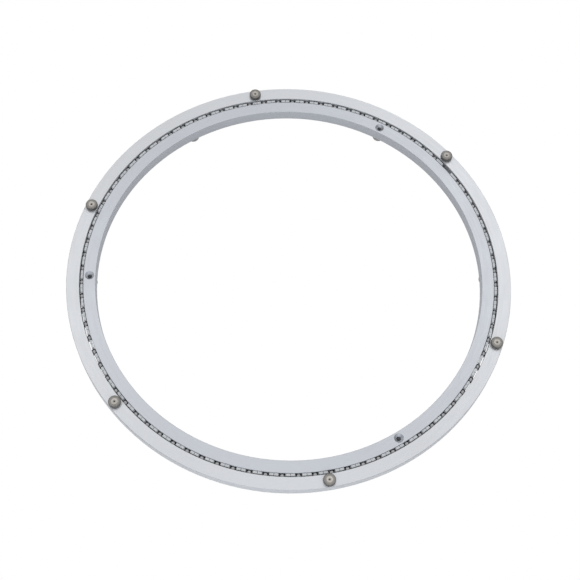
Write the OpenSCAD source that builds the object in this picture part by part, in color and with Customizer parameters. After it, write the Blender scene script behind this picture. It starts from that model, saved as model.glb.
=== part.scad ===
// Lazy susan turntable: a low ring bearing that carries a round table top or tray.
// A fixed inner ring stands on six soft feet. A lighter outer ring turns round it on
// steel balls that a snap-in plastic cage holds apart. Six soft pads on the outer ring
// grip whatever is laid on it.
// The axis of rotation is Z, the surface that the feet stand on is Z = 0, and the first
// screw hole lies on +X.

/* [Outer ring] */
// Outer diameter of the turning ring
ring_od = 450; // [400:1:600]
// Radial width of the turning ring
outer_w = 13; // [12.5:0.1:18]
// Height of the turning ring
outer_h = 11.2; // [10:0.1:14]
// Height of the turning ring's top above the fixed ring's top
ring_step = 1.2; // [0.5:0.1:2]

/* [Inner ring] */
// Radial width of the fixed ring
inner_w = 12.3; // [11.5:0.1:18]
// Height of the fixed ring
inner_h = 13.2; // [12.5:0.1:16]
// Open gap between the two rings
ring_gap = 3.8; // [3.6:0.05:4.4]
// Chamfer on the edges of both rings
edge_chamfer = 0.3; // [0.2:0.1:0.8]

/* [Ball race] */
// Diameter of one ball
ball_d = 6.35; // [6:0.05:6.5]
// Number of balls
ball_count = 83; // [40:1:83]
// Radial running clearance of a ball in each groove
ball_clearance = 0.1; // [0.02:0.01:0.12]
// Radius of a groove's section as a share of the ball's radius
groove_conformity = 1.05; // [1.04:0.01:1.08]
// Height of the ball centres above the turning ring's underside
ball_height = 5.6; // [5:0.1:7]

/* [Ball cage] */
// Radial thickness of the cage strip
cage_w = 2.3; // [2:0.1:2.6]
// Radial clearance between the cage and the fixed ring that guides it
cage_guide_clearance = 0.4; // [0.3:0.05:0.5]
// Height of the cage's underside above the turning ring's underside
cage_lift = 0.6; // [0.4:0.1:1]
// Depth of the cage's top below the turning ring's top
cage_drop = 1.1; // [0.6:0.1:2]
// Clearance all round a ball in its pocket
pocket_clearance = 0.2; // [0.1:0.05:0.3]
// Width of the pocket's neck, a little less than the ball
neck_w = 5.9; // [5:0.1:5.9]
// Width of the pocket's flared mouth at the cage's top
mouth_w = 7.3; // [6:0.1:7.6]
// Height of the neck above the ball's centre
neck_lift = 2; // [1.8:0.1:2.4]
// Width of the flexing slot between two pockets
flex_slot_w = 0.4; // [0.3:0.1:0.8]
// Depth of the flexing slot
flex_slot_depth = 5; // [3:0.5:6]
// Angle between the two balls on either side of the strip's joint
joint_span_angle = 10.46; // [9:0.02:12]
// Angle of the open gap at the strip's joint
joint_gap_angle = 3.8; // [2:0.1:4]
// Direction of the strip's joint, counted from +X
joint_angle = -24.15; // [-40:0.05:-10]

/* [Screw holes and feet] */
// Number of screw holes in the fixed ring
hole_count = 3; // [3:1:6]
// Diameter of a screw hole
hole_d = 4.4; // [4:0.1:5]
// Diameter of a countersink at the ring's top
countersink_d = 9.4; // [8:0.1:9.6]
// Number of feet
foot_count = 6; // [6:1:6]
// Diameter of a foot
foot_d = 12.2; // [9:0.1:13]
// Height that a foot stands out below the fixed ring
foot_h = 4.4; // [2:0.1:6]
// Diameter of the collar that holds a foot in the ring
foot_collar_d = 7.2; // [6.5:0.1:8]
// Height of that collar
foot_collar_h = 2.2; // [1:0.1:3]
// Bore through a foot, wide enough to clear a screw
foot_bore_d = 5.2; // [5:0.1:5.6]

/* [Top pads] */
// Number of pads on the turning ring
pad_count = 6; // [6:1:6]
// Direction of the first pad, counted from +X
pad_angle = 38.75; // [0:0.05:59.95]
// Diameter of a pad
pad_d = 12.2; // [10:0.1:12.4]
// Height of a pad above the turning ring
pad_h = 4.4; // [3:0.1:5]
// Chamfer round a pad's top
pad_chamfer = 1.1; // [0.6:0.1:1.4]
// Diameter of the dished centre of a pad
pad_dish_d = 6.2; // [4:0.1:7]
// Depth of that dish
pad_dish_depth = 0.5; // [0.3:0.1:0.8]
// Diameter of the moulded dimple in the dish
pad_dimple_d = 1.2; // [0.8:0.1:1.6]
// Depth of the dimple below the dish
pad_dimple_depth = 0.8; // [0.4:0.1:1.2]
// Diameter of the stem that holds a pad in the ring
pad_stem_d = 5; // [4:0.1:5.5]
// Length of that stem
pad_stem_h = 3.6; // [3:0.1:4]

/* [Hidden] */

$fn = 180;
ring_facets = 360;
cut = 1; // extra length of a cutting tool past the face that it opens
stem_clearance = 0.05; // radial clearance of a stem or collar in its hole

// Radii of the rings, from the outside in
ring_or = ring_od / 2;
outer_ir = ring_or - outer_w;
inner_or = outer_ir - ring_gap;
inner_ir = inner_or - inner_w;

// Heights, from the floor up
inner_z = foot_h;
inner_top = inner_z + inner_h;
outer_top = inner_top + ring_step;
outer_z = outer_top - outer_h;
ball_z = outer_z + ball_height;

// Ball race
ball_r = ball_d / 2;
ball_circle_r = (outer_ir + inner_or) / 2;
groove_r = ball_r * groove_conformity;
groove_shift = groove_r - ball_r - ball_clearance;
ball_pitch_angle = (360 - joint_span_angle) / (ball_count - 1);
first_ball_angle = joint_angle + joint_span_angle / 2;
balls_per_node = 7;

// Cage
cage_ir = inner_or + cage_guide_clearance;
cage_or = cage_ir + cage_w;
cage_z = outer_z + cage_lift;
cage_top = outer_top - cage_drop;
pocket_r = ball_r + pocket_clearance;

// Holes, feet and pads
hole_circle_r = (inner_ir + inner_or) / 2;
countersink_h = (countersink_d - hole_d) / 2;
foot_pitch_angle = 360 / foot_count;
pad_circle_r = (outer_ir + ring_or) / 2;
pad_pitch_angle = 360 / pad_count;
dish_sphere_r = (pow(pad_dish_d / 2, 2) + pow(pad_dish_depth, 2)) / (2 * pad_dish_depth);

// Moves its children to a radius and a direction round the axis of rotation.
module at_polar(radius, direction, height = 0) {
    rotate([0, 0, direction]) translate([radius, 0, height]) children();
}

// A ring of rectangular section with a chamfer on all four edges.
module chamfered_ring(inner_r, outer_r, bottom, top, chamfer) {
    rotate_extrude($fn = ring_facets) polygon([
        [inner_r + chamfer, bottom],
        [outer_r - chamfer, bottom],
        [outer_r, bottom + chamfer],
        [outer_r, top - chamfer],
        [outer_r - chamfer, top],
        [inner_r + chamfer, top],
        [inner_r, top - chamfer],
        [inner_r, bottom + chamfer]
    ]);
}

// The arc-section groove that the balls run in, as a solid to cut away.
module ball_groove(section_circle_r) {
    rotate_extrude($fn = ring_facets) translate([section_circle_r, ball_z]) circle(r = groove_r, $fn = 48);
}

// A screw hole, from under the ring up through its countersink, as a solid to cut away.
module screw_hole() {
    translate([0, 0, inner_z - cut]) cylinder(d = hole_d, h = inner_h + 2 * cut);
    translate([0, 0, inner_top - countersink_h]) cylinder(d1 = hole_d, d2 = countersink_d, h = countersink_h);
    translate([0, 0, inner_top]) cylinder(d = countersink_d, h = cut);
}

// The round socket under the ring that a foot's collar is pressed into.
module foot_socket() {
    translate([0, 0, inner_z - cut])
        cylinder(r = foot_collar_d / 2 + stem_clearance, h = foot_collar_h + stem_clearance + cut);
}

module inner_ring() {
    color("#C9CDD4") difference() {
        chamfered_ring(inner_ir, inner_or, inner_z, inner_top, edge_chamfer);
        ball_groove(ball_circle_r + groove_shift);
        for (i = [0 : hole_count - 1]) at_polar(hole_circle_r, i * 360 / hole_count) screw_hole();
        for (i = [0 : foot_count - 1]) at_polar(hole_circle_r, i * foot_pitch_angle) foot_socket();
    }
}

// One soft foot: a disc with a collar on top and a bore that a screw can pass through.
module foot(number) {
    color("#8E8C88") at_polar(hole_circle_r, (number - 1) * foot_pitch_angle) difference() {
        union() {
            cylinder(d = foot_d, h = foot_h);
            cylinder(d = foot_collar_d, h = foot_h + foot_collar_h);
        }
        translate([0, 0, -cut]) cylinder(d = foot_bore_d, h = foot_h + foot_collar_h + 2 * cut);
    }
}

module outer_ring() {
    color("#D6D9DE") difference() {
        chamfered_ring(outer_ir, ring_or, outer_z, outer_top, edge_chamfer);
        ball_groove(ball_circle_r - groove_shift);
        for (i = [0 : pad_count - 1])
            at_polar(pad_circle_r, pad_angle + i * pad_pitch_angle, outer_top - pad_stem_h - stem_clearance)
                cylinder(r = pad_stem_d / 2 + stem_clearance, h = pad_stem_h + stem_clearance + cut);
    }
}

// One soft pad: a chamfered button with a dished, dimpled top and a stem below.
module top_pad(number) {
    color("#A39C92") at_polar(pad_circle_r, pad_angle + (number - 1) * pad_pitch_angle, outer_top) difference() {
        union() {
            cylinder(d = pad_d, h = pad_h - pad_chamfer);
            translate([0, 0, pad_h - pad_chamfer])
                cylinder(d1 = pad_d, d2 = pad_d - 2 * pad_chamfer, h = pad_chamfer);
            translate([0, 0, -pad_stem_h]) cylinder(d = pad_stem_d, h = pad_stem_h + cut);
        }
        translate([0, 0, pad_h - pad_dish_depth + dish_sphere_r]) sphere(r = dish_sphere_r);
        translate([0, 0, pad_h - pad_dish_depth - pad_dimple_depth])
            cylinder(d = pad_dimple_d, h = pad_dish_depth + pad_dimple_depth + cut);
    }
}

// A ball pocket with its neck and flared mouth, as a radial solid to cut out of the cage.
module cage_pocket() {
    mouth_h = cage_top - ball_z;
    flare = (mouth_w - neck_w) / 2 / (mouth_h - neck_lift);
    over_w = mouth_w + 2 * flare * cut;
    rotate([90, 0, 90]) linear_extrude(cage_w + 2 * cut, center = true) union() {
        circle(r = pocket_r, $fn = 64);
        polygon([
            [-neck_w / 2, 0],
            [neck_w / 2, 0],
            [neck_w / 2, neck_lift],
            [over_w / 2, mouth_h + cut],
            [-over_w / 2, mouth_h + cut],
            [-neck_w / 2, neck_lift]
        ]);
    }
}

// The strip that spaces the balls, snapped in from below and left open at one joint.
module ball_cage() {
    cage_mid_r = (cage_ir + cage_or) / 2;
    joint_gap = 2 * cage_mid_r * sin(joint_gap_angle / 2);
    color("#F2F2EE") difference() {
        rotate_extrude($fn = ring_facets)
            translate([cage_ir, cage_z]) square([cage_w, cage_top - cage_z]);
        for (i = [0 : ball_count - 1])
            at_polar(cage_mid_r, first_ball_angle + i * ball_pitch_angle, ball_z) cage_pocket();
        for (i = [0 : ball_count - 2])
            at_polar(cage_mid_r, first_ball_angle + (i + 0.5) * ball_pitch_angle, cage_top)
                cube([cage_w + 2 * cut, flex_slot_w, 2 * flex_slot_depth], center = true);
        at_polar(cage_mid_r, joint_angle, (cage_z + cage_top) / 2)
            cube([cage_w + 2 * cut, joint_gap, cage_top - cage_z + 2 * cut], center = true);
    }
}

// One stretch of the ball race: up to seven separate balls.
module balls(number) {
    first = (number - 1) * balls_per_node;
    last = min(first + balls_per_node, ball_count) - 1;
    color("#9BA0A6") for (i = [first : last])
        at_polar(ball_circle_r, first_ball_angle + i * ball_pitch_angle, ball_z) sphere(d = ball_d, $fn = 48);
}

inner_ring();
foot(1);  // foot_1
foot(2);  // foot_2
foot(3);  // foot_3
foot(4);  // foot_4
foot(5);  // foot_5
foot(6);  // foot_6
outer_ring();
top_pad(1);  // top_pad_1
top_pad(2);  // top_pad_2
top_pad(3);  // top_pad_3
top_pad(4);  // top_pad_4
top_pad(5);  // top_pad_5
top_pad(6);  // top_pad_6
ball_cage();
balls(1);  // balls_1
balls(2);  // balls_2
balls(3);  // balls_3
balls(4);  // balls_4
balls(5);  // balls_5
balls(6);  // balls_6
balls(7);  // balls_7
balls(8);  // balls_8
balls(9);  // balls_9
balls(10);  // balls_10
balls(11);  // balls_11
balls(12);  // balls_12
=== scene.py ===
"""Lazy susan turntable: a turning aluminium ring on a caged ball race round a fixed ring on soft feet.

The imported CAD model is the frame. This script gives its rings, cage and balls their finishes, builds the
soft pads and feet as lathed silicone mouldings, and sets a white studio with one camera.

The scene is in metres, as the frame is. Profiles of mouldings are in millimetres, as pairs of radius and
height. A tone is a grey between 0 and 1, and a tint scales its red, green and blue.
"""

import math

import bmesh
import bpy
from mathutils import Matrix, Vector


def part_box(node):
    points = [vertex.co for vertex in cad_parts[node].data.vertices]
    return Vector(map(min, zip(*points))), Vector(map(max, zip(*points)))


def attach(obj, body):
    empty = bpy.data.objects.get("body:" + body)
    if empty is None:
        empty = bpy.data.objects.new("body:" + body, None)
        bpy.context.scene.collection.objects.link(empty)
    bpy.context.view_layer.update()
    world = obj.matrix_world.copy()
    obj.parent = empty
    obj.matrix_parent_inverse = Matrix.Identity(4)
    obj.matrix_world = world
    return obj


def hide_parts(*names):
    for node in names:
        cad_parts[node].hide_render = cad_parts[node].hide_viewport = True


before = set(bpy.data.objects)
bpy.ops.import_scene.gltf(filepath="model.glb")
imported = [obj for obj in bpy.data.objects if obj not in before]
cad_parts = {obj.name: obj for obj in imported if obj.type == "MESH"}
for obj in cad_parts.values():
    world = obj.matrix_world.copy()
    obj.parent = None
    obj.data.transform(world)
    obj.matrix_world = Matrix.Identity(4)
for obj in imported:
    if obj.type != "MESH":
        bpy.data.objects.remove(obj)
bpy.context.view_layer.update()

MM = 0.001
MICRON = 0.000001
FEET = [f"foot_{i}" for i in range(1, 7)]
PADS = [f"top_pad_{i}" for i in range(1, 7)]
BALLS = [f"balls_{i}" for i in range(1, 13)]


# ---------------------------------------------------------------- frame measures


def centre_xy(node):
    low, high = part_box(node)
    return Vector(((low.x + high.x) / 2, (low.y + high.y) / 2, 0))


def size_of(node):
    """Radius and top height of an upright round node, in millimetres."""
    low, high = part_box(node)
    return (high.x - low.x) / 2 / MM, high.z / MM


OUTER_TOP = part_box("outer_ring")[1].z
PAD_R, pad_top = size_of("top_pad_1")
PAD_H = pad_top - OUTER_TOP / MM
FOOT_R, FOOT_COLLAR_TOP = size_of("foot_1")
FOOT_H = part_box("inner_ring")[0].z / MM


# ---------------------------------------------------------------- shader helpers


class Shader:
    """A short way to add and join shader nodes in one material."""

    def __init__(self, name):
        self.material = bpy.data.materials.new(name)
        self.material.use_nodes = True
        self.tree = self.material.node_tree
        self.tree.nodes.clear()
        self.output = self.tree.nodes.new("ShaderNodeOutputMaterial")
        self.principled = self.tree.nodes.new("ShaderNodeBsdfPrincipled")
        self.link(self.principled.outputs["BSDF"], self.output.inputs["Surface"])

    def link(self, source, target):
        self.tree.links.new(source, target)

    def fill(self, socket, value):
        """Joins a socket to another socket, or sets it to a plain value."""
        if isinstance(value, bpy.types.NodeSocket):
            self.link(value, socket)
        elif value is not None:
            socket.default_value = value

    def add(self, kind, inputs=(), **settings):
        node = self.tree.nodes.new(kind)
        for key, value in settings.items():
            setattr(node, key, value)
        for key, value in dict(inputs).items():
            self.fill(node.inputs[key], value)
        return node

    def set(self, **values):
        """Fills the main shader's sockets, named with underscores for spaces."""
        for key, value in values.items():
            self.fill(self.principled.inputs[key.replace("_", " ")], value)

    def math(self, operation, a, b=None):
        node = self.add("ShaderNodeMath", operation=operation)
        for socket, value in zip(node.inputs, (a, b)):
            self.fill(socket, value)
        return node.outputs[0]

    def remap(self, value, low, high, to_low=0.0, to_high=1.0):
        node = self.add("ShaderNodeMapRange", {
            "Value": value, "From Min": low, "From Max": high, "To Min": to_low, "To Max": to_high,
        })
        return node.outputs["Result"]

    def mix(self, factor, a, b):
        """One colour faded into another."""
        node = self.add("ShaderNodeMix", data_type="RGBA")
        self.fill(node.inputs["Factor"], factor)
        self.fill(node.inputs["A"], a)
        self.fill(node.inputs["B"], b)
        return node.outputs["Result"]

    def blend(self, factor, first, second):
        """One surface or light shader faded into another."""
        node = self.add("ShaderNodeMixShader", {"Fac": factor, 1: first, 2: second})
        return node.outputs["Shader"]

    def position(self):
        return self.add("ShaderNodeTexCoord").outputs["Object"]

    def split(self, vector):
        parts = self.add("ShaderNodeSeparateXYZ", {"Vector": vector}).outputs
        return parts["X"], parts["Y"], parts["Z"]

    def flatness(self):
        """How squarely a face looks up or down: 0 on upright sides, 1 on flats."""
        normal = self.add("ShaderNodeNewGeometry").outputs["Normal"]
        return self.math("ABSOLUTE", self.split(normal)[2])

    def noise(self, vector, scale, detail, roughness, w=None):
        node = self.add("ShaderNodeTexNoise", {
            "Vector": vector, "Scale": scale, "Detail": detail, "Roughness": roughness,
        })
        if w is not None:
            node.noise_dimensions = "4D"
            self.fill(node.inputs["W"], w)
        return node.outputs["Fac"]

    def bump(self, height, distance, strength, normal=None):
        node = self.add("ShaderNodeBump", {"Height": height, "Distance": distance, "Strength": strength})
        self.fill(node.inputs["Normal"], normal)
        return node.outputs["Normal"]


def tone(value, tint=(1.0, 1.0, 1.0)):
    return (value * tint[0], value * tint[1], value * tint[2], 1.0)


def give(node_name, material):
    """Puts one material on a CAD node's mesh."""
    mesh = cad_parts[node_name].data
    mesh.materials.clear()
    mesh.materials.append(material)


# ---------------------------------------------------------------- aluminium

OUTER_TINT = (0.975, 1.0, 1.045)
INNER_TINT = (0.96, 1.0, 1.075)
CLOUD_TINT = (1.0, 0.995, 0.985)

# Turning marks: noise cells to a metre across the ring, and to a radius along it
FINE_MARKS = (9000.0, 40.0)
COARSE_MARKS = (1500.0, 9.0)

# Flatness at which an upright side gives way to a cut slope, and a cut slope to a flat
SIDE_TO_CUT = (0.35, 0.6)
CUT_TO_FLAT = (0.8, 0.97)
CUT_FLATNESS = 0.7

# How far in from a ring's edges the painted dark reflection on its bevels starts and ends its fade
BEVEL_FADE = (0.4 * MM, 0.8 * MM)


def bevel_zones(node):
    """Radii over which the painted dark reflection on the bevel at a ring's bore fades out, and that on the
    bevel at its outside fades in.
    """
    reaches = [math.hypot(vertex.co.x, vertex.co.y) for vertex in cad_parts[node].data.vertices]
    bore, outside = min(reaches), max(reaches)
    near, far = BEVEL_FADE
    return (bore + near, bore + far), (outside - far, outside - near)


def polar(shader):
    """Radius, the cosine and sine of the bearing, which run round the ring without a seam, and height."""
    x, y, z = shader.split(shader.position())
    square = shader.math("ADD", shader.math("MULTIPLY", x, x), shader.math("MULTIPLY", y, y))
    radius = shader.math("SQRT", square)
    return radius, shader.math("DIVIDE", x, radius), shader.math("DIVIDE", y, radius), z


def turned_grain(shader, place, marks):
    """Noise drawn out round the ring: fine across the radius and the height, long along the turning marks."""
    radius, cosine, sine, z = place
    across, along = marks
    vector = shader.add("ShaderNodeCombineXYZ", {
        "X": shader.math("MULTIPLY", radius, across),
        "Y": shader.math("MULTIPLY", cosine, along),
        "Z": shader.math("MULTIPLY", sine, along),
    })
    height = shader.math("MULTIPLY", z, across)
    return shader.noise(vector.outputs["Vector"], scale=1.0, detail=2.0, roughness=0.6, w=height)


def anodised_aluminium(name, node, top_tone, side_finish_and_shading_tone, cut_finish_and_shading_tone, bevel_dark_reflection_tone, tint):
    """Turned and clear-anodised aluminium: grain round the ring, cloudy tone, own tones on sides and cuts.
    The side and cut tones are partly finish and partly painted light and shade, and the bevels carry a
    painted dark reflection.
    """
    s = Shader(name)
    place = polar(s)
    radius = place[0]
    fine = turned_grain(s, place, FINE_MARKS)
    coarse = turned_grain(s, place, COARSE_MARKS)
    cloud = s.noise(s.position(), scale=22.0, detail=4.0, roughness=0.55)
    speck = s.noise(s.position(), scale=2600.0, detail=2.0, roughness=0.7)
    flatness = s.flatness()

    bore_zone, outside_zone = bevel_zones(node)
    # The bevels at the bore and at the outside take a darker tone, a painted dark reflection along the ring's
    # edges; countersinks and other cut slopes between them keep the cut tone.
    cut = s.mix(s.remap(radius, *bore_zone), tone(bevel_dark_reflection_tone, tint), tone(cut_finish_and_shading_tone, tint))
    cut = s.mix(s.remap(radius, *outside_zone), cut, tone(bevel_dark_reflection_tone, tint))
    # Upright sides and cut slopes take their own tones. These are partly their finish and partly painted
    # light and shade: painted shade on the darker inner-ring sides and countersinks, and painted light on the
    # slightly lighter outer-ring sides.
    sloped = s.mix(s.remap(flatness, *SIDE_TO_CUT), tone(side_finish_and_shading_tone, tint), cut)
    plain = s.mix(s.remap(flatness, *CUT_TO_FLAT), sloped, tone(top_tone, tint))

    groove_tone, cloud_tone, speck_tone = 0.72 * top_tone, 1.12 * top_tone, 0.8 * top_tone
    grained = s.mix(s.remap(fine, 0.3, 0.7, to_high=0.14), plain, tone(groove_tone, tint))
    clouded = s.mix(s.remap(cloud, 0.35, 0.7, to_high=0.10), grained, tone(cloud_tone, CLOUD_TINT))
    speckled = s.mix(s.remap(speck, 0.62, 0.8, to_high=0.12), clouded, tone(speck_tone, tint))

    grain_rough = s.remap(coarse, 0.3, 0.7, 0.34, 0.46)
    cloud_rough = s.remap(cloud, 0.3, 0.7, -0.03, 0.03)
    off_cut = s.math("ABSOLUTE", s.math("SUBTRACT", flatness, CUT_FLATNESS))
    cut_rough = s.remap(off_cut, 0.1, 0.25, 0.18, 0.0)
    roughness = s.math("ADD", s.math("ADD", grain_rough, cloud_rough), cut_rough)

    coarse_bump = s.bump(coarse, distance=50 * MICRON, strength=0.25)
    fine_bump = s.bump(fine, distance=20 * MICRON, strength=0.35, normal=coarse_bump)
    tangent = s.add("ShaderNodeTangent", direction_type="RADIAL", axis="Z")
    s.set(Base_Color=speckled, Metallic=0.82, Roughness=roughness, Normal=fine_bump)
    s.set(Anisotropic=0.7, Anisotropic_Rotation=0.25, Tangent=tangent.outputs["Tangent"])
    return s.material


# ---------------------------------------------------------------- nylon and steel


def moulded_nylon():
    """Natural white nylon strip: waxy, softly mottled and faintly pitted."""
    s = Shader("cage_nylon")
    mottle = s.noise(s.position(), scale=160.0, detail=4.0, roughness=0.6)
    pits = s.noise(s.position(), scale=1800.0, detail=3.0, roughness=0.6)
    dull, clean = tone(0.50, (0.965, 1.0, 1.045)), tone(0.57, (0.975, 1.0, 1.035))
    s.set(Base_Color=s.mix(s.remap(mottle, 0.35, 0.7), dull, clean))
    s.set(Roughness=s.remap(pits, 0.3, 0.7, 0.38, 0.52))
    s.set(Normal=s.bump(pits, distance=40 * MICRON, strength=0.3))
    s.set(Subsurface_Weight=0.25, Subsurface_Scale=1.2 * MM, Subsurface_Radius=(1.0, 1.0, 0.9))
    return s.material


def bearing_steel():
    """Polished steel ball with a light oil film and the odd fine scuff."""
    s = Shader("ball_steel")
    smear = s.noise(s.position(), scale=900.0, detail=4.0, roughness=0.6)
    scuff = s.noise(s.position(), scale=5200.0, detail=2.0, roughness=0.7)
    oiled, dry = tone(0.30, (0.97, 0.99, 1.0)), tone(0.40, (0.98, 0.99, 1.0))
    s.set(Base_Color=s.mix(s.remap(smear, 0.35, 0.7), oiled, dry), Metallic=1.0)
    s.set(Roughness=s.remap(smear, 0.3, 0.7, 0.08, 0.2))
    s.set(Normal=s.bump(scuff, distance=10 * MICRON, strength=0.15))
    return s.material


# ---------------------------------------------------------------- silicone

# Tone of a moulding in rings about its own axis: reach, as a share of its radius, and tone there. On the pads
# the rings are painted light and shade over the silicone's tint: a dark dot of painted shade in the dimple, a
# bright band of painted light through the dish, and a dark rim of painted shade at the shoulder.
PAD_PAINTED_LIGHT_AND_SHADE_RINGS = [(0.0, 0.06), (0.11, 0.09), (0.20, 0.46), (0.42, 0.62), (0.56, 0.31), (0.84, 0.25), (0.97, 0.10)]
FOOT_RINGS = [(0.0, 0.26), (0.5, 0.26), (0.72, 0.34), (0.9, 0.32), (1.0, 0.26)]
# The pads' upright sides are painted in shade, far darker than their tops; the feet's sides keep about the
# feet's own tone.
PAD_FLANK_PAINTED_SHADE_TONE, FOOT_FLANK_TONE = 0.07, 0.27
PAD_TINT = (1.0, 0.945, 0.87)
FOOT_TINT = (1.0, 0.985, 0.96)


def silicone(name, rings, flank_tone, tint):
    """Glossy, slightly cloudy silicone whose tone runs in rings about the moulding's own axis; on the pads
    these rings are painted light and shade.

    Each moulding carries its distance from that axis, as a share of its radius, in the attribute "reach".
    The rings are listed from the axis outward, and flank_tone is the tone of upright sides, which on the pads
    is a painted shade."""
    s = Shader(name)
    reach = s.add("ShaderNodeAttribute", attribute_name="reach").outputs["Fac"]
    haze = s.noise(s.position(), scale=420.0, detail=4.0, roughness=0.6)
    skin = s.noise(s.position(), scale=2400.0, detail=3.0, roughness=0.6)
    batch = s.noise(s.position(), scale=6.0, detail=1.0, roughness=0.5)
    wobbly_reach = s.math("ADD", reach, s.remap(haze, 0.3, 0.7, -0.03, 0.03))
    ramp = s.add("ShaderNodeValToRGB", {"Fac": wobbly_reach})
    stops = ramp.color_ramp.elements
    while len(stops) < len(rings):
        stops.new(1.0)
    for stop, (place, value) in zip(stops, rings):
        stop.position, stop.color = place, tone(value, tint)

    flank, dust = tone(flank_tone, tint), tone(1.3 * rings[-3][1])
    # Upright sides fade to the flank tone, which on the pads is painted shade.
    uprightness = s.remap(s.flatness(), 0.55, 0.15)
    sided = s.mix(uprightness, ramp.outputs["Color"], flank)
    toned = s.mix(s.remap(batch, 0.35, 0.65, to_high=0.22), sided, flank)
    dusty = s.mix(s.remap(skin, 0.58, 0.75, to_high=0.12), toned, dust)
    s.set(Base_Color=dusty, Roughness=s.remap(haze, 0.3, 0.7, 0.2, 0.34), IOR=1.42)
    s.set(Normal=s.bump(skin, distance=20 * MICRON, strength=0.2))
    s.set(Subsurface_Weight=0.35, Subsurface_Scale=0.8 * MM, Subsurface_Radius=(1.0, 0.85, 0.7))
    return s.material


# ---------------------------------------------------------------- mouldings

LATHE_SEGMENTS = 72

PAD_STEM_R, PAD_STEM_LENGTH, PAD_STEM_ROUND = 2.5, 3.6, 0.5
PAD_STEM_FLARE, PAD_STEM_FLARE_H = 0.1, 0.25
PAD_BASE_ROUND, PAD_SHOULDER = 0.35, 1.25
PAD_WAIST_H, PAD_DRAFT, PAD_SHOULDER_INSET = 1.2, 0.03, 0.05
# Radius and depth below the pad's top, from the land round the dish to the bottom of the dimple
PAD_DISH = [(4.2, 0.0), (3.5, 0.02), (3.2, 0.08), (2.8, 0.22), (2.2, 0.40), (1.6, 0.52), (1.1, 0.58)]
PAD_DIMPLE = [(0.8, 0.62), (0.62, 0.72), (0.52, 0.95), (0.38, 1.18), (0, 1.28)]

FOOT_BORE_R, FOOT_BORE_ROUND = 2.6, 0.35
FOOT_BASE_ROUND, FOOT_TOP_ROUND = 0.7, 0.15
FOOT_COLLAR_R, FOOT_COLLAR_ROUND, FOOT_COLLAR_LEAD, FOOT_COLLAR_FILLET = 3.6, 0.25, 0.3, (0.05, 0.1)
FOOT_BORE_CHAMFER = (0.15, 0.2)


def arc(centre_r, centre_z, radius, start_deg, end_deg, steps):
    """Points of a profile along a circular arc."""
    points = []
    for i in range(steps + 1):
        angle = math.radians(start_deg + (end_deg - start_deg) * i / steps)
        points.append((centre_r + radius * math.cos(angle), centre_z + radius * math.sin(angle)))
    return points


def pad_profile():
    """Half section of a top pad, from the end of its stem, up its side, over the dish and into the dimple."""
    stem_round, base_round, shoulder = PAD_STEM_ROUND, PAD_BASE_ROUND, PAD_SHOULDER
    points = [(0, -PAD_STEM_LENGTH)]
    points += arc(PAD_STEM_R - stem_round, -PAD_STEM_LENGTH + stem_round, stem_round, -90, 0, 5)
    points += [(PAD_STEM_R, -PAD_STEM_FLARE_H), (PAD_STEM_R + PAD_STEM_FLARE, 0.0)]
    points += arc(PAD_R - base_round, base_round, base_round, -90, 0, 5)
    points += [(PAD_R, PAD_WAIST_H), (PAD_R - PAD_DRAFT, PAD_H - shoulder - base_round)]
    points += arc(PAD_R - shoulder - PAD_SHOULDER_INSET, PAD_H - shoulder, shoulder, 4, 84, 10)
    points += [(r, PAD_H - depth) for r, depth in PAD_DISH + PAD_DIMPLE]
    return points


def foot_profile():
    """Half section of a foot, a closed loop round its screw bore."""
    chamfer_r, chamfer_h = FOOT_BORE_CHAMFER
    fillet_r, fillet_h = FOOT_COLLAR_FILLET
    collar_r, collar_round = FOOT_COLLAR_R, FOOT_COLLAR_ROUND
    base_round, top_round, bore_round = FOOT_BASE_ROUND, FOOT_TOP_ROUND, FOOT_BORE_ROUND
    bore_top = (FOOT_BORE_R, FOOT_COLLAR_TOP - chamfer_h)
    points = [bore_top, (FOOT_BORE_R, bore_round)]
    points += arc(FOOT_BORE_R + bore_round, bore_round, bore_round, 180, 270, 4)
    points += arc(FOOT_R - base_round, base_round, base_round, -90, 0, 6)
    points += [(FOOT_R, FOOT_H - 2 * top_round)]
    points += arc(FOOT_R - top_round, FOOT_H - top_round, top_round, 0, 90, 3)
    points += [(collar_r + fillet_r, FOOT_H), (collar_r, FOOT_H + fillet_h)]
    points += [(collar_r, FOOT_COLLAR_TOP - FOOT_COLLAR_LEAD)]
    points += arc(collar_r - collar_round, FOOT_COLLAR_TOP - collar_round, collar_round, 0, 90, 3)
    points += [(FOOT_BORE_R + chamfer_r, FOOT_COLLAR_TOP), bore_top]
    return points


def turned_ring(bm, place, r, z):
    """The points that one profile point makes as it is turned: a full ring, or one point on the axis."""
    if r == 0:
        return [bm.verts.new(place + Vector((0, 0, z * MM)))]
    ring = []
    for i in range(LATHE_SEGMENTS):
        angle = math.tau * i / LATHE_SEGMENTS
        offset = Vector((r * math.cos(angle) * MM, r * math.sin(angle) * MM, z * MM))
        ring.append(bm.verts.new(place + offset))
    return ring


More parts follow.
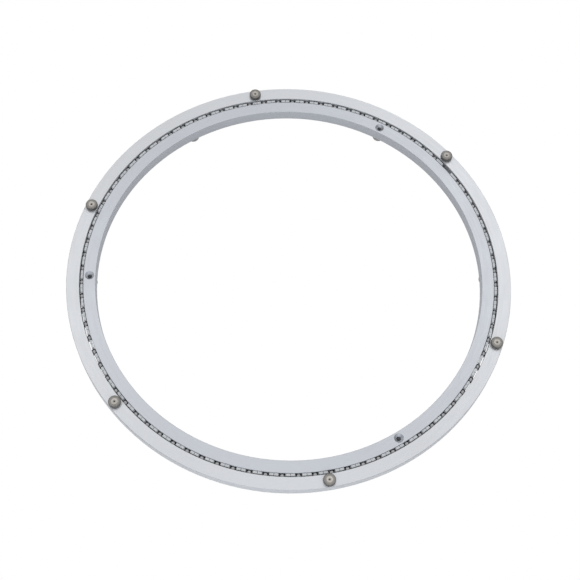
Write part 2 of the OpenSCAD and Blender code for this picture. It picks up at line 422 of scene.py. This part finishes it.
def lathe(name, profile, place, reach_radius):
    """Turns a profile about a vertical axis through place, and records each point's reach."""
    mesh = bpy.data.meshes.new(name)
    bm = bmesh.new()
    rings = [turned_ring(bm, place, r, z) for r, z in profile]
    for lower, upper in zip(rings, rings[1:]):
        for i in range(LATHE_SEGMENTS):
            j = (i + 1) % LATHE_SEGMENTS
            if len(lower) == 1:
                bm.faces.new((lower[0], upper[j], upper[i]))
            elif len(upper) == 1:
                bm.faces.new((lower[i], lower[j], upper[0]))
            else:
                bm.faces.new((lower[i], lower[j], upper[j], upper[i]))
    bmesh.ops.recalc_face_normals(bm, faces=bm.faces)
    bm.to_mesh(mesh)
    bm.free()
    for polygon in mesh.polygons:
        polygon.use_smooth = True
    reach = mesh.attributes.new("reach", "FLOAT", "POINT")
    for vertex in mesh.vertices:
        offset = vertex.co - place
        reach.data[vertex.index].value = math.hypot(offset.x, offset.y) / (reach_radius * MM)
    piece = bpy.data.objects.new(name, mesh)
    bpy.context.scene.collection.objects.link(piece)
    return piece


def build_pads():
    material = silicone("pad_silicone", PAD_PAINTED_LIGHT_AND_SHADE_RINGS, PAD_FLANK_PAINTED_SHADE_TONE, PAD_TINT)
    for name in PADS:
        place = centre_xy(name) + Vector((0, 0, OUTER_TOP))
        pad = lathe(name + "_moulding", pad_profile(), place, PAD_R)
        pad.data.materials.append(material)
        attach(pad, "turntable")
        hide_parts(name)


def build_feet():
    material = silicone("foot_silicone", FOOT_RINGS, FOOT_FLANK_TONE, FOOT_TINT)
    for name in FEET:
        foot = lathe(name + "_moulding", foot_profile(), centre_xy(name), FOOT_R)
        foot.data.materials.append(material)
        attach(foot, "base")
        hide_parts(name)


def finish_frame():
    """Gives every CAD node that stays in view its own finish."""
    outer = anodised_aluminium("outer_aluminium", "outer_ring", top_tone=0.665, side_finish_and_shading_tone=0.68,
                               cut_finish_and_shading_tone=0.5, bevel_dark_reflection_tone=0.48, tint=OUTER_TINT)
    inner = anodised_aluminium("inner_aluminium", "inner_ring", top_tone=0.59, side_finish_and_shading_tone=0.52,
                               cut_finish_and_shading_tone=0.52, bevel_dark_reflection_tone=0.46, tint=INNER_TINT)
    give("outer_ring", outer)
    give("inner_ring", inner)
    give("ball_cage", moulded_nylon())
    steel = bearing_steel()
    for name in BALLS:
        give(name, steel)


# ---------------------------------------------------------------- studio

FLOOR_HALF = 4.0
LIGHT_DISTANCE = 1.6
WHITE_LIGHT = (1.0, 1.0, 1.0)
WINDOW_BLUE = (0.93, 0.99, 1.08)

# The world's brightness: dim walls up to one height of the view direction, and a full ceiling from the next
WALL_TOP, CEILING_START = 0.35, 0.6
WALL_STRENGTH, CEILING_STRENGTH = 0.2, 0.99

# The camera's place about the rings, in degrees and metres, and the small turns of its aim, in degrees
CAMERA_BEARING = -153.95
CAMERA_ELEVATION = 63.98
CAMERA_DISTANCE = 1.1631
CAMERA_TILT, CAMERA_PAN, CAMERA_ROLL = 0.837, 0.072, -3.147
LENS_MM, SENSOR_MM = 71.15, 36.0


def floor_white():
    """Pure white to the camera, a pale and faintly glowing table to the rings, and clear from below."""
    s = Shader("floor_white")
    s.set(Base_Color=tone(0.55), Roughness=0.9, Emission_Color=tone(1.0), Emission_Strength=0.25)
    glow = s.add("ShaderNodeEmission", {"Color": tone(1.0), "Strength": 1.0}).outputs["Emission"]
    clear = s.add("ShaderNodeBsdfTransparent").outputs["BSDF"]
    seen = s.add("ShaderNodeLightPath").outputs["Is Camera Ray"]
    below = s.add("ShaderNodeNewGeometry").outputs["Backfacing"]
    from_above = s.blend(seen, s.principled.outputs["BSDF"], glow)
    s.link(s.blend(below, from_above, clear), s.output.inputs["Surface"])
    return s.material


def white_floor():
    half = FLOOR_HALF
    corners = [(-half, -half, 0), (half, -half, 0), (half, half, 0), (-half, half, 0)]
    mesh = bpy.data.meshes.new("floor")
    mesh.from_pydata(corners, [], [(0, 1, 2, 3)])
    mesh.materials.append(floor_white())
    floor = bpy.data.objects.new("floor", mesh)
    bpy.context.scene.collection.objects.link(floor)


def soft_box(name, bearing, elevation, size, power, colour):
    """A rectangle of soft light, aimed at the middle of the rings from a bearing about the camera's own."""
    turn, rise = math.radians(CAMERA_BEARING + bearing), math.radians(elevation)
    direction = Vector((math.cos(rise) * math.cos(turn), math.cos(rise) * math.sin(turn), math.sin(rise)))
    place = LIGHT_DISTANCE * direction
    light = bpy.data.lights.new(name, "AREA")
    light.shape = "RECTANGLE"
    light.size, light.size_y = size
    light.energy = power
    light.color = colour
    lamp = bpy.data.objects.new(name, light)
    lamp.location = place
    lamp.rotation_euler = (-place).to_track_quat("-Z", "Y").to_euler()
    bpy.context.scene.collection.objects.link(lamp)


def studio_world():
    """A bright ceiling over dim walls, which the camera itself sees as pure white all round."""
    world = bpy.data.worlds.new("studio")
    world.use_nodes = True
    tree = world.node_tree
    background = tree.nodes["Background"]
    direction = tree.nodes.new("ShaderNodeTexCoord").outputs["Generated"]
    height = tree.nodes.new("ShaderNodeSeparateXYZ")
    tree.links.new(direction, height.inputs["Vector"])
    ceiling = tree.nodes.new("ShaderNodeMapRange")
    ceiling.inputs["From Min"].default_value = WALL_TOP
    ceiling.inputs["From Max"].default_value = CEILING_START
    ceiling.inputs["To Min"].default_value = WALL_STRENGTH
    ceiling.inputs["To Max"].default_value = CEILING_STRENGTH
    tree.links.new(height.outputs["Z"], ceiling.inputs["Value"])
    shown = tree.nodes.new("ShaderNodeMath")
    shown.operation = "MAXIMUM"
    tree.links.new(tree.nodes.new("ShaderNodeLightPath").outputs["Is Camera Ray"], shown.inputs[0])
    tree.links.new(ceiling.outputs["Result"], shown.inputs[1])
    tree.links.new(shown.outputs["Value"], background.inputs["Strength"])
    background.inputs["Color"].default_value = tone(1.0)
    bpy.context.scene.world = world


def studio_light():
    """The world, a broad window on the camera's side and two weak lights behind the rings."""
    studio_world()
    soft_box("front", bearing=0, elevation=26, size=(1.8, 1.4), power=9.0, colour=WINDOW_BLUE)
    soft_box("back_right", bearing=150, elevation=55, size=(0.8, 0.8), power=1.05, colour=WHITE_LIGHT)
    soft_box("back_left", bearing=240, elevation=55, size=(0.8, 0.8), power=0.75, colour=WHITE_LIGHT)


def studio_camera():
    """The camera looks down at 64 degrees, with the first screw hole to the upper right."""
    azimuth, elevation = math.radians(CAMERA_BEARING + 90), math.radians(CAMERA_ELEVATION)
    right = Vector((math.cos(azimuth), math.sin(azimuth), 0))
    level = Vector((-math.sin(azimuth), math.cos(azimuth), 0))
    forward = level * math.cos(elevation) - Vector((0, 0, math.sin(elevation)))
    facing = Matrix((right, right.cross(forward), -forward)).transposed()
    tilt = Matrix.Rotation(-math.radians(CAMERA_TILT), 3, "X")
    pan = Matrix.Rotation(-math.radians(CAMERA_PAN), 3, "Y")
    roll = Matrix.Rotation(-math.radians(CAMERA_ROLL), 3, "Z")
    place = Vector((0, 0, OUTER_TOP)) - forward * CAMERA_DISTANCE
    data = bpy.data.cameras.new("camera")
    data.lens, data.sensor_width = LENS_MM, SENSOR_MM
    data.clip_start, data.clip_end = 0.01, 50.0
    camera = bpy.data.objects.new("camera", data)
    camera.matrix_world = Matrix.Translation(place) @ (facing @ tilt @ pan @ roll).to_4x4()
    bpy.context.scene.collection.objects.link(camera)
    bpy.context.scene.camera = camera


studio_camera()
finish_frame()
build_pads()
build_feet()
white_floor()
studio_light()
bpy.context.scene.view_settings.view_transform = "Standard"
